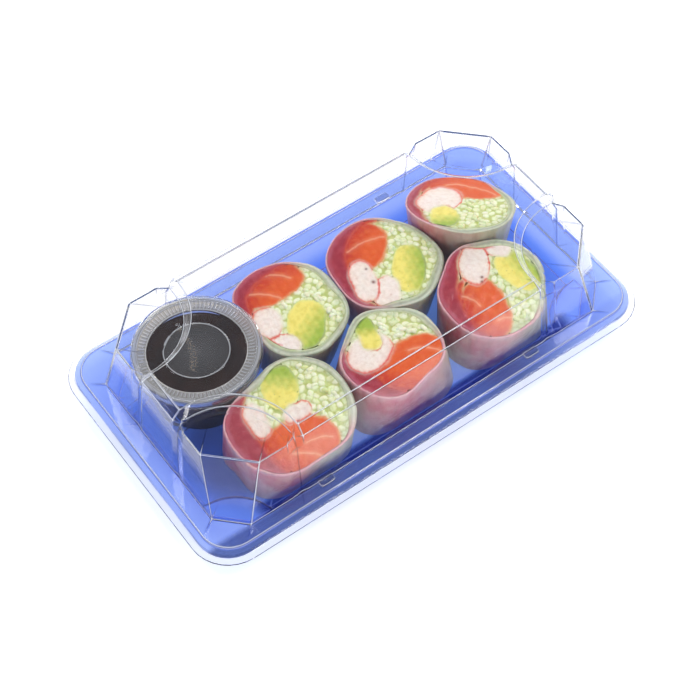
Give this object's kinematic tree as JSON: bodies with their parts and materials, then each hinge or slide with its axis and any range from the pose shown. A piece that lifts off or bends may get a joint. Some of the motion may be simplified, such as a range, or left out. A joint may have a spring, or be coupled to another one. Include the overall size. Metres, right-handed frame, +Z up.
{
  "type": "takeaway sushi tray",
  "caption": "Blue plastic takeaway tray with a clear lid pressed on, holding cut rice-paper rolls of fish, crab stick, avocado and cucumber and a lidded pot of soy sauce.",
  "frame": {"origin": "middle of the tray's footprint on the surface it stands on", "axes": "+X along the tray's long side away from the sauce pot, +Z up"},
  "size_m": [0.23, 0.1288, 0.0493],
  "materials": {
    "tray": "clear cobalt blue thermoformed sheet, glossy",
    "lid": "clear thermoformed sheet, glossy",
    "pot": "clear moulded cup, glossy",
    "pot_lid": "clear pressed-on lid with a crimped ring",
    "sauce": "soy sauce, dark brown liquid",
    "rice_paper": "moist translucent rice paper",
    "tuna": "raw tuna, deep red, moist",
    "salmon": "raw salmon, orange with pale fat lines",
    "crab": "crab stick, cream white with a red skin",
    "avocado": "ripe avocado, yellow to green",
    "cucumber": "shredded cucumber, pale green"
  },
  "bodies": {
    "root": {"tray": "tray", "lid": "lid", "sauce_cup": "pot", "sauce_cup_lid": "pot_lid", "soy_sauce": "sauce", "roll_a_wrapper": "rice_paper", "roll_a_crab_1": "crab", "roll_a_crab_2": "crab", "roll_a_avocado": "avocado", "roll_a_salmon": "salmon", "roll_a_tuna": "tuna", "roll_a_cucumber": "cucumber", "roll_b_wrapper": "rice_paper", "roll_b_crab_1": "crab", "roll_b_crab_2": "crab", "roll_b_avocado": "avocado", "roll_b_salmon": "salmon", "roll_b_tuna": "tuna", "roll_b_cucumber": "cucumber", "roll_c_wrapper": "rice_paper", "roll_c_avocado": "avocado", "roll_c_crab_1": "crab", "roll_c_salmon": "salmon", "roll_c_tuna": "tuna", "roll_c_cucumber": "cucumber", "roll_d_wrapper": "rice_paper", "roll_d_crab_2": "crab", "roll_d_avocado": "avocado", "roll_d_crab_1": "crab", "roll_d_salmon": "salmon", "roll_d_tuna": "tuna", "roll_d_cucumber": "cucumber", "roll_e_wrapper": "rice_paper", "roll_e_avocado": "avocado", "roll_e_crab_1": "crab", "roll_e_salmon": "salmon", "roll_e_tuna": "tuna", "roll_e_cucumber": "cucumber", "roll_f_wrapper": "rice_paper", "roll_f_crab_1": "crab", "roll_f_crab_2": "crab", "roll_f_avocado": "avocado", "roll_f_salmon": "salmon", "roll_f_tuna": "tuna", "roll_f_cucumber": "cucumber"}
  },
  "joints": []
}
